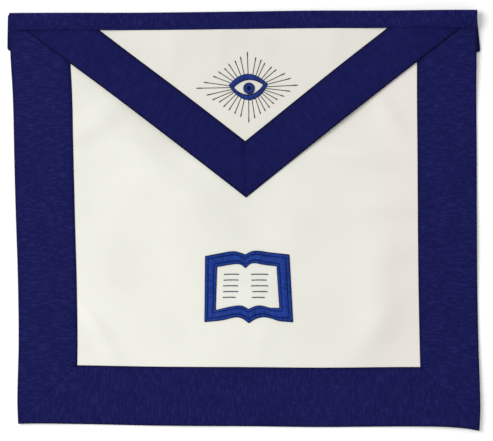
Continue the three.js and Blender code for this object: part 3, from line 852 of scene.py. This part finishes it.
def trimmed(points, faces, cuts):
    """The same closed piece, cut off at planes and closed there. Each cut is a point and the side that
    goes. The face sinks a little beside a cut, where it is sewn to the next piece."""
    source = bpy.data.meshes.new("ribbon_length")
    source.from_pydata(points.tolist(), [], faces.tolist())
    shape = bmesh.new()
    shape.from_mesh(source)
    bpy.data.meshes.remove(source)
    for point, away in cuts:
        away = np.array(away) / np.linalg.norm(away)
        for inset in MITRE_STEPS:
            whole = shape.verts[:] + shape.edges[:] + shape.faces[:]
            parted = bmesh.ops.bisect_plane(
                shape, geom=whole, dist=NOTHING, plane_co=point - inset * away, plane_no=away,
                clear_outer=inset == 0,
            )
        rim = [part for part in parted["geom_cut"] if isinstance(part, bmesh.types.BMEdge)]
        if rim:
            bmesh.ops.contextual_create(shape, geom=rim)
    shape.verts.index_update()
    kept_points = np.array([vert.co[:] for vert in shape.verts])
    kept_faces = [[vert.index for vert in face.verts] for face in shape.faces]
    shape.free()
    on_face = kept_points[:, 2] > LEATHER + GAP + RIBBON / 2
    for point, away in cuts:
        inside = (point - kept_points) @ (np.array(away) / np.linalg.norm(away))
        kept_points[:, 2] -= MITRE_SINK * np.exp(-((inside / MITRE_REACH) ** 2)) * on_face
    return kept_points, kept_faces


def facing_out(faces, side):
    """Faces that look out of a piece, which is mirrored to the left where side is -1."""
    return [face[::-1] for face in faces] if side < 0 else faces


def side_place(side):
    """From along, inwards and up to the flat layout, for a border on one side."""
    return lambda p: together(side * (HALF_WIDTH - p[..., 1]), p[..., 0], p[..., 2])


def hem_place(p):
    """The same for the border along the hem."""
    return together(p[..., 0] - HALF_WIDTH, p[..., 1], p[..., 2])


def add_ribbon(name, node, shape, place, side, cloth):
    """One length of ribbon, cut at its mitres and laid over the edge of the leather under it."""
    points, faces = shape
    ribbon = add_piece(name, place(points), facing_out(faces, side), points, cloth)
    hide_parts(node)


def add_border(name, length, cuts, flat_place, side):
    """A border along one side, from the hem up to the waist, or along the hem from left to right."""
    shape = trimmed(*ribbed(BORDER_WIDTH, stations(0, length, RIB_PITCH / 3)), cuts)
    add_ribbon(
        f"border_ribbon_{name}",
        f"border_{name}",
        shape,
        lambda points: on_panel(flat_place(points)),
        side,
        border_cloth,
    )


def sewn(name, lines, height, place):
    """Rows of lock stitch along lines of the flat layout, half sunk in the cloth."""
    rows = [stitch_places(line, STITCH_PITCH, STITCH) for line in lines]
    sunk = height - STITCH_SINK
    stitches = add_stitches(name, rows, sunk, STITCH_ARCH, place, LOCK_THREAD, sewing_thread)


def straight(start, end, count=60):
    """A straight line of the flat layout, in steps short enough to follow its sway."""
    return np.linspace(start, end, count)


low_mitre = ((MITRE_GAP, 0, 0), (-1, 1, 0))
high_mitre = ((APRON_WIDTH - MITRE_GAP, 0, 0), (1, 1, 0))
for name, side in (("left", -1), ("right", 1)):
    add_border(name, STACK_TOP, [low_mitre], side_place(side), side)
add_border("bottom", APRON_WIDTH, [low_mitre, high_mitre], hem_place, 1)
row_corners = [(BORDER_INNER + INNER_ROW, BORDER_WIDTH - INNER_ROW), (HALF_WIDTH - FOLD_ROW, FOLD_ROW)]
border_lines = [
    straight((side * x, y), (side * x, STACK_TOP)) for x, y in row_corners for side in (-1, 1)
] + [straight((-x, y), (x, y)) for x, y in row_corners]
sewn("border_stitches", border_lines, RIBBON_FACE, on_panel)

# The flap
# A triangle of the same lambskin, turned down from the waist over the panel and the upper ends of the
# borders. It lies on the panel in the middle and climbs onto the borders at its sides.
FLAP_DROP = 161.5
FLAP_OVERRUN = 6.5
FLAP_BOW = 0.8
FLAP_INSET = 6.0
FLAP_SLOPE = 40.0
PARED = 0.45
PARED_REACH = 14.0
FLAP_TIP = APRON_HEIGHT - FLAP_DROP
FLAP_CORNER = HALF_WIDTH - FLAP_INSET
FLAP_RISE = FLAP_DROP / (HALF_WIDTH + FLAP_OVERRUN)
SLOPE_LENGTH = math.hypot(1, FLAP_RISE)
FLAP_CLIMBED = BORDER_INNER - 2 * EASE

# Its corners are cut off square at the sides, so it has a little more leather than a triangle
FLAP_FOLDS = table("across up turn length width rise", [
    (0.352, 0.91, 84, 16, 7, 0.6), (0.449, 0.92, 92, 18, 7, 0.6), (0.55, 0.93, 88, 14, 8, 0.4),
    (0.695, 0.92, 78, 15, 7, 0.6), (0.5, 0.7, 20, 20, 10, 0.3), (0.29, 0.73, -38, 46, 24, 3.2),
    (0.71, 0.735, 38, 46, 24, 3.2),
])


def flap_underside(x):
    """Height of the flap's underside over the panel's."""
    return LEATHER + GAP + SEAT * ease(np.abs(x), FLAP_CLIMBED - FLAP_SLOPE, FLAP_CLIMBED)


def on_flap(points):
    """The place of points whose height is over the flap's underside. Its edges are pared thinner."""
    x, y, height = np.moveaxis(points, -1, 0)
    inwards = (y - FLAP_TIP - np.abs(x) * FLAP_RISE) / SLOPE_LENGTH
    thinned = height * (1 - PARED * ease(inwards, PARED_REACH, 0))
    return on_panel(together(x, y, thinned + (flap_underside(x) + folds(FLAP_FOLDS, x, y))))


def flap_bow(x):
    """How far the flap's sloping edges bow inwards."""
    out = np.abs(x) / HALF_WIDTH
    return FLAP_BOW * 4 * out * (1 - out)


def flap_height_at(x, inwards):
    """A place on the flap that lies inwards of its sloping edge, square to it."""
    slope = FLAP_TIP + np.abs(x) * FLAP_RISE + flap_bow(x) + inwards * SLOPE_LENGTH
    return np.minimum(slope, STACK_TOP)


flap_x = stations(-FLAP_CORNER, FLAP_CORNER, LEATHER_CELL)[:, None]
flap_foot = flap_height_at(flap_x, SEAT)
flap_share = stations(0, 1, LEATHER_CELL / FLAP_DROP)[None, :]
flap_y = flap_foot + (STACK_TOP - flap_foot) * flap_share
flap_grain = lambskin(
    "flap_lambskin", paint(216, 214, 205), paint(227, 226, 218), paint(220, 216, 208), 0.7, 0.05, 0.6
)
flap = leather_sheet("flap_leather", flap_x, flap_y, on_flap, flap_grain)
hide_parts("flap")

# The eye on the flap
# Two lids of padded satin stitch that meet at pointed corners, with a round iris, a dark knot for the
# pupil and a dark line of stem stitch round the white. Single strands of black thread run out from it.
IRIS_WIDTH = 9.9
IRIS_PLACE = (0.4, -2.0)
PUPIL_WIDTH = 3.5
EYE_DOWN = 64.7
EYE_SHIFT = 3.5
EYE_TURN = math.radians(2.7)
RAYS_SHIFT = 0.3
RAYS_DROP = 1.1
RAYS_ACROSS = 44.0
RAYS_UP = 31.0
RAY_FOCUS = 6.5
RAY_ROOT = 0.8
RAY_THREAD = 0.34
RAY_POINTS = 14
RAY_SITS = 0.12
LID_FULLNESS = 0.85
LID_PITCH = 0.36
IRIS_PITCH = 0.34
PUPIL_PITCH = 0.4
EYE_BASE = LEATHER + 0.35
EYE_STEM = 1.8
EYE_LAP = 6
EYE_STEM_SITS = 0.5
EYE_STEM_THREAD = STEM_THREAD * 2.2

# The iris's threads end under the pupil at a share of its width, and its padding reaches past them. One
# row of stem stitch lies at a share of the way across the lids, the other at a share of the iris's width.
UNDER_PUPIL = 0.7
IRIS_MIDDLE = 1.4
WHITE_RIM = 0.95
IRIS_RIM = 0.92

# The outlines of the lids: lean is how far the line between their corners climbs to the right
LIDS = table("half_width above below rise lean", [
    (16.9, 9.3, 13.4, 1.2, -0.028), (13.0, 5.4, 7.4, 0, 0.038),
])

# The rays, in degrees from +X, with the share of their diamond that each one reaches
RAYS = [
    (91, 1), (104, 1.01), (116, 1.01), (129.5, 1.05), (141, 1.01), (152, 1.04), (162, 1.02), (173, 1.04),
    (180.5, 1.05), (190, 1.05), (198.5, 1.07), (206, 1.01), (217, 1.05), (228, 1.04), (241, 1.03),
    (253.5, 1), (269, 1), (280, 0.98), (293, 0.97), (304, 0.99), (315, 0.98), (326, 0.96), (336, 0.92),
    (345, 0.96), (354, 0.94), (362, 1.02), (371.5, 1.07), (380.5, 1.1), (392, 1.04), (401, 1.03),
    (415.5, 1.01), (424.5, 1.03), (435.5, 0.99),
]
eye_thread = thread_material("eye_thread", paint(2, 24, 78), paint(38, 64, 152), 0.9, 0.45, 0.15)
black_thread = thread_material("black_thread", paint(10, 10, 12), paint(34, 34, 38), 0.6, 0.6, 0.15)
pupil_thread = thread_material("pupil_thread", paint(3, 8, 40), paint(8, 16, 64), 0.6, 0.6, 0.08)


def eye_lids(half_width, above, below, rise, lean):
    """A closed outline of two arches that meet at pointed corners, the lower one fuller."""
    angle = np.linspace(0, 2 * np.pi, 240, endpoint=False)
    across = np.cos(angle)
    arch = 1 - across * across
    height = np.where(angle < np.pi, above * arch, -below * arch**LID_FULLNESS)
    return together(half_width * across, height + rise + lean * half_width * across)


def on_eye(points):
    """The place of points round the middle of the eye, at heights over the flap's underside."""
    across, up, height = np.moveaxis(np.asarray(points, float), -1, 0)
    x = across * math.cos(EYE_TURN) - up * math.sin(EYE_TURN)
    y = across * math.sin(EYE_TURN) + up * math.cos(EYE_TURN)
    return on_flap(together(EYE_SHIFT + x, APRON_HEIGHT - EYE_DOWN + y, height))


def circle(diameter):
    """A circle round the iris's middle."""
    angle = np.linspace(0, 2 * np.pi, 120, endpoint=False)
    return together(np.cos(angle), np.sin(angle)) * diameter / 2 + IRIS_PLACE


lid_outer, lid_inner = even_pairs(*(eye_lids(**lids) for lids in LIDS), LID_PITCH)
lid_satin = add_threads(
    "eye_lid_satin",
    satin_column(
        lid_outer, lid_inner, on_eye, EYE_BASE, crown=0.45, slant=1, seed=7, ragged=0.06
    ),
    SATIN_THREAD,
    eye_thread,
)
lid_levels = LEATHER + np.array([0.1, 0.55, 0.7, 0.55, 0.1])
lid_pad = add_padding("eye_lid_padding", lid_outer, lid_inner, on_eye, lid_levels)
iris_outer, iris_inner = even_pairs(circle(IRIS_WIDTH), circle(PUPIL_WIDTH * UNDER_PUPIL), IRIS_PITCH)
iris_satin = add_threads(
    "iris_satin",
    satin_column(iris_outer, iris_inner, on_eye, EYE_BASE, crown=0.4, slant=1, seed=8),
    SATIN_THREAD,
    eye_thread,
)
iris_middle = across_band(iris_outer, iris_inner, IRIS_MIDDLE)
iris_levels = LEATHER + np.array([0.1, 0.6, 0.6, 0.6])
iris_pad = add_padding("iris_padding", iris_outer, iris_middle, on_eye, iris_levels)
pupil_outer, pupil_inner = even_pairs(circle(PUPIL_WIDTH), circle(0.2), PUPIL_PITCH)
pupil = add_threads(
    "pupil_knot",
    satin_column(pupil_outer, pupil_inner, on_eye, LEATHER + 0.8, crown=0.35, slant=2, seed=9),
    SATIN_THREAD,
    pupil_thread,
)
eye_rims = (across_band(lid_outer, lid_inner, WHITE_RIM), circle(IRIS_WIDTH * IRIS_RIM))
rim_rows = [stem_row(rim, EYE_LAP, EYE_STEM) for rim in eye_rims]
eye_stems = add_stitches(
    "eye_stem_stitch", rim_rows, LEATHER + EYE_STEM_SITS, STEM_ARCH, on_eye, EYE_STEM_THREAD, deep_thread
)


def ray_paths():
    """Each ray from the lids to its tip. It points away from a focus between the eye's middle and its
    corner."""
    angle, reach = np.array(RAYS).T
    angle = np.radians(angle)
    way = together(np.cos(angle), np.sin(angle))
    tip = way * (reach / (np.abs(way) / (RAYS_ACROSS, RAYS_UP)).sum(axis=1))[:, None]
    focus = together(RAY_FOCUS * way[:, 0], 0)
    lids = np.array([LIDS[0]["half_width"], (LIDS[0]["above"] + LIDS[0]["below"]) / 2]) * RAY_ROOT
    start, reach_out = focus / lids, (tip - focus) / lids
    square = (reach_out**2).sum(axis=1)
    half = (start * reach_out).sum(axis=1)
    leaves = (np.sqrt(half**2 - square * ((start**2).sum(axis=1) - 1)) - half) / square
    shares = leaves[:, None] + (1 - leaves[:, None]) * np.linspace(0, 1, RAY_POINTS)
    return focus[:, None] + (tip - focus)[:, None] * shares[..., None]


ray_middle = np.array([EYE_SHIFT + RAYS_SHIFT, APRON_HEIGHT - EYE_DOWN - RAYS_DROP])
ray_swell = np.ones(RAY_POINTS)
ray_swell[-3:] = (1.25, 1.6, 0.8)
ray_lines = on_flap(raised(ray_paths() + ray_middle, LEATHER + RAY_SITS))
rays = add_threads("eye_rays", ray_lines, ray_swell * RAY_THREAD, black_thread)
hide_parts("eye_ring")
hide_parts("eye_iris")

# The ribbon on the flap
# Narrower ribbon of the same navy, with finer ribs, along both slopes of the flap. The two lengths meet
# in an upright mitre over the flap's tip, and their upper ends go under the waistband.
TRIM_WIDTH = 38.8
TRIM_RIBS = 0.12
trim_cloth = ribbon_material(
    "navy_trim_ribbon", paint(17, 18, 72), paint(24, 26, 86), TRIM_WIDTH, 1.0, 2.4, 12.0, 0.5, 0.75
)
slope_turn = math.atan(FLAP_RISE)
slope_way = np.array([math.cos(slope_turn), math.sin(slope_turn)])
inward_way = np.array([-slope_way[1], slope_way[0]])


def trim_place(side, points):
    """From along, inwards and up to the flat layout, for the ribbon on one slope."""
    flat = points[..., :1] * slope_way + points[..., 1:2] * inward_way + (0, FLAP_TIP)
    x, y = flat[..., 0], flat[..., 1] + flap_bow(flat[..., 0])
    return together(side * x, np.minimum(y, STACK_TOP), points[..., 2])


def along_slope(x, y, inward_side, upward_side):
    """A cut through the ribbon at a place of the flat layout, and the side that goes, in ribbon places."""
    from_tip = np.array([x, y - FLAP_TIP])
    away = np.array([inward_side, upward_side])
    point = (from_tip @ slope_way, from_tip @ inward_way, 0)
    return point, (away @ slope_way, away @ inward_way, 0)


trim_cuts = [
    along_slope(MITRE_GAP, FLAP_TIP, -1, 0),
    along_slope(FLAP_CORNER, STACK_TOP, 1, 0),
    along_slope(0, STACK_TOP, 0, 1),
]
trim_length = FLAP_CORNER / slope_way[0]
trim_along = stations(0, trim_length + TRIM_WIDTH, RIB_PITCH / 3)
trim_shape = trimmed(*ribbed(TRIM_WIDTH, trim_along, TRIM_RIBS), trim_cuts)
for name, side in (("left", -1), ("right", 1)):
    add_ribbon(
        f"trim_ribbon_{name}",
        f"flap_trim_{name}",
        trim_shape,
        lambda points: on_flap(trim_place(side, points)),
        side,
        trim_cloth,
    )


def slope_line(side, inwards):
    """A row of stitches along one slope of the flap, from the mitre to the waistband."""
    top = (BAND_FOOT - FLAP_TIP - inwards * SLOPE_LENGTH) / FLAP_RISE
    x = np.linspace(0.5, min(top, FLAP_CORNER), 60)
    return together(side * x, flap_height_at(x, inwards))


trim_rows = (FOLD_ROW, TRIM_WIDTH - INNER_ROW)
trim_lines = [slope_line(side, inwards) for side in (-1, 1) for inwards in trim_rows]
sewn("trim_stitches", trim_lines, RIBBON_FACE, on_flap)

# The belt
# Two straps of navy webbing run across the back from a clasp in the middle. Each turns back on itself
# just past the side edge, where its fold shows, and its end is sewn behind the corner of the apron.
BELT_TAIL = 45.0
CLASP_WIDTH = 24.0
ROUNDED = 0.9
ROUNDED_FROM = (0.07, 0.93)
WEBBING_THINS = 0.3
THINS_FROM = (0.03, 0.97)
belt_cloth = ribbon_material(
    "navy_belt_webbing", paint(12, 14, 60), paint(26, 28, 82), BELT_WIDTH, 0.5, 1.6, 4.0, 0.6, 0.85
)


def add_strap(name, side, down, top_shows, foot_shows):
    """One strap: a run along the table, a hairpin fold and a tail on top of the run."""
    outer = BELT + GAP / 2
    start = CLASP_WIDTH / 2 + GAP
    run = stations(0, 1, 0.02)[:-1]
    bend = np.linspace(0, np.pi, 17)
    tail = stations(0, BELT_TAIL, 3)[1:]
    share = np.concatenate([run, bend * 0 + 1, tail * 0 + 1])
    turn = np.concatenate([run * 0, bend, tail * 0 + np.pi])
    back = np.concatenate([run * 0, bend * 0, tail])
    width = np.concatenate([[0, 0.01, 0.03], np.linspace(0.06, 0.94, 14), [0.97, 0.99, 1]])
    corners = ease(width, ROUNDED_FROM[0], 0) + ease(width, ROUNDED_FROM[1], 1)
    shows = top_shows + (foot_shows - top_shows) * width - ROUNDED * corners
    thin = WEBBING_THINS * (1 - ease(width, 0, THINS_FROM[0]))
    thin += WEBBING_THINS * ease(width, THINS_FROM[1], 1)
    fold_at = HALF_WIDTH + shows - outer
    middle = start + (fold_at - start) * share[:, None] - back[:, None]
    y = np.broadcast_to(APRON_HEIGHT - down - BELT_WIDTH * width, middle.shape)

    def skin(radius):
        x = side * (middle + radius * np.sin(turn)[:, None])
        return together(x, y, outer - radius * np.cos(turn)[:, None])

    points, faces = loft(sheet_rings(skin(outer - thin), skin(GAP / 2 + thin)))
    length = fold_at.max() - start + math.pi * outer / 2 + BELT_TAIL
    along_run = (fold_at.max() - start) * share[: len(run)]
    travelled = np.concatenate([along_run, length - BELT_TAIL + bend, tail + length])
    section = np.concatenate([width, width[::-1]]) * BELT_WIDTH
    place = together(travelled[:, None], section, 0.0).reshape(-1, 3)
    strap = add_piece(name.replace("belt", "belt_webbing"), on_table(points), faces, place, belt_cloth)
    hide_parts(name)


for strap_name, strap in STRAPS.items():
    add_strap(strap_name, **strap)

# The clasp of the belt
# A plain plate of satin brass in the middle of the back, out of sight. Its solid stays as it is.


def satin_brass():
    """Brass that was brushed along its length."""
    material, tree, shader = bare_material("satin_brass")
    place = add_node(tree, "ShaderNodeTexCoord").outputs["Object"]
    drawn = add_node(tree, "ShaderNodeVectorMath", {0: place, 1: (90, 4000, 900)}, operation="MULTIPLY")
    brushed = noise(tree, drawn.outputs[0], 1.0, 3.0)["Fac"]
    colour = between(tree, brushed, paint(160, 122, 60), paint(206, 172, 98))
    tree.links.new(colour, shader.inputs["Base Color"])
    tree.links.new(spread(tree, brushed, 0.3, 0.7, 0.28, 0.46), shader.inputs["Roughness"])
    shader.inputs["Metallic"].default_value = 1.0
    return material


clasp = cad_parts["belt_clasp"]
clasp.data.materials.clear()
clasp.data.materials.append(satin_brass())

# The waistband
# One length of navy ribbon folded over the top edges of the panel, the borders, the flap and its ribbon,
# and sewn through them all near its foot.
SETTLE = 32.0
BAND_RIBS = 0.12
BAND_ROUND = 1.9
BAND_CELL = 1.5
BAND_THINS = 4.0
BAND_DENT = 0.2
BAND_SQUARE = 0.8
FOOT_DOWN = 0.2
DRAWN_DOWN = 2.0
DRAWN_OVER = 8.0
DRAWN_FROM = 10.0
trims_start = (BAND_FOOT - FLAP_TIP - TRIM_WIDTH * SLOPE_LENGTH) / FLAP_RISE - EASE
flap_ends = (BAND_FOOT - FLAP_TIP) / FLAP_RISE
band_cloth = ribbon_material(
    "navy_waistband_ribbon", paint(15, 16, 70), paint(31, 33, 93), 2 * APRON_HEIGHT, 0, 1.4, 6.0, 0.6, 0.75
)


def under_band(x):
    """Height over the panel's underside of what the face of the waistband lies on."""
    climb = SEAT * ease(np.abs(x), trims_start - SETTLE, trims_start)
    return flap_underside(x) + LEATHER + GAP + climb


def waistband():
    """The fold's sections, from the foot of its face over the top to the foot of its back."""
    along = stations(-HALF_WIDTH, HALF_WIDTH, RIB_PITCH / 3)[:, None]
    front = under_band(along)
    bend = (front + GAP) / 2 + RIBBON
    middle = (front - GAP) / 2
    turn = np.linspace(0, np.pi, 10)
    leg = stations(BAND_LEG, BAND_ROUND, BAND_CELL)[:-1]
    foot = ease(leg, BAND_LEG - BAND_THINS, BAND_LEG)
    past_flap = ease(np.abs(along), flap_ends, flap_ends + DRAWN_OVER)
    past_flap = past_flap * ease(leg, BAND_LEG - DRAWN_FROM, BAND_LEG)
    ribs = BAND_RIBS * rib_wave(along, leg / 4) * ease(leg, BAND_LEG - RIBS_START, BAND_LEG - RIBS_FULL)
    drawn_down = FOOT_DOWN * foot + DRAWN_DOWN * past_flap
    hollow = ribs + BAND_DENT * dent(leg - BAND_LEG + INNER_ROW) + drawn_down

    def skin(inset):
        depth = bend - inset
        over_in = BAND_ROUND - (BAND_ROUND - inset) * np.sin(turn)
        over_up = middle + depth * np.sign(np.cos(turn)) * np.abs(np.cos(turn)) ** BAND_SQUARE
        face_up = middle + depth - (hollow + SELVEDGE_THINS * foot if inset == 0 else drawn_down)
        back_up = np.broadcast_to(middle - depth, face_up.shape)
        inwards = np.concatenate([leg, over_in, leg[::-1]])
        up = np.concatenate([face_up, over_up, back_up[:, ::-1]], axis=1)
        return together(along, APRON_HEIGHT - inwards, up)

    return loft(sheet_rings(skin(0.0), skin(RIBBON)))


band_points, band_faces = waistband()
band_run = band_points * (1, 1, 0)
band = add_piece("waistband_ribbon", on_panel(band_points), band_faces, band_run, band_cloth)
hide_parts("waistband")


def on_band(points):
    """The place of points whose height is over the face of the waistband."""
    return on_panel(points + together(0, 0, under_band(points[..., 0])))


band_row = BAND_FOOT + INNER_ROW
band_line = straight((1 - HALF_WIDTH, band_row), (HALF_WIDTH - 1, band_row), 200)
sewn("waistband_stitches", [band_line], RIBBON, on_band)

# The table, the light and the camera
# A plain pale table, a bright even surround with one large soft lamp at the upper left, and a camera
# with a long lens straight above the apron.
VIEW_WIDTH = 427.9
LENS = 200.0
SENSOR = 36.0
TABLE_DROP = 0.3
TABLE_SIZE = 8.0
LAMP_SIZE = 1.4
LAMP_POWER = 36.0
LAMP_PLACE = (-1.25, 0.5, 1.95)
SURROUND = 0.62


def pale_table():
    """The plain surface that the apron lies on."""
    mesh = bpy.data.meshes.new("table")
    half = TABLE_SIZE / 2
    low = -TABLE_DROP * MILLIMETRE
    corners = [(x * half, y * half, low) for x, y in ((-1, -1), (1, -1), (1, 1), (-1, 1))]
    mesh.from_pydata(corners, [], [(0, 1, 2, 3)])
    material, _, shader = bare_material("pale_table")
    look = {
        "Base Color": (0.98, 0.98, 0.98, 1), "Emission Color": (1, 1, 1, 1), "Emission Strength": 0.06,
        "Roughness": 0.9, "Specular IOR Level": 0.1,
    }
    for socket, value in look.items():
        shader.inputs[socket].default_value = value
    mesh.materials.append(material)
    placed("table", mesh)


pale_table()
lamp = bpy.data.lights.new("soft_lamp", "AREA")
lamp.size = LAMP_SIZE
lamp.energy = LAMP_POWER
soft_lamp = placed("soft_lamp", lamp)
soft_lamp.location = LAMP_PLACE
soft_lamp.rotation_euler = (-soft_lamp.location).to_track_quat("-Z", "Y").to_euler()
surround = bpy.data.worlds.new("bright_room")
surround.use_nodes = True
background = surround.node_tree.nodes["Background"]
background.inputs["Color"].default_value = (1, 1, 1, 1)
background.inputs["Strength"].default_value = SURROUND
bpy.context.scene.world = surround
bpy.context.scene.view_settings.view_transform = "Standard"
camera = bpy.data.cameras.new("overhead_camera")
camera.lens = LENS
camera.sensor_width = SENSOR
overhead = placed("overhead_camera", camera)
overhead.location = (row_shift[0] * MILLIMETRE, 0, (VIEW_WIDTH * LENS / SENSOR + LEATHER) * MILLIMETRE)
bpy.context.scene.camera = overhead
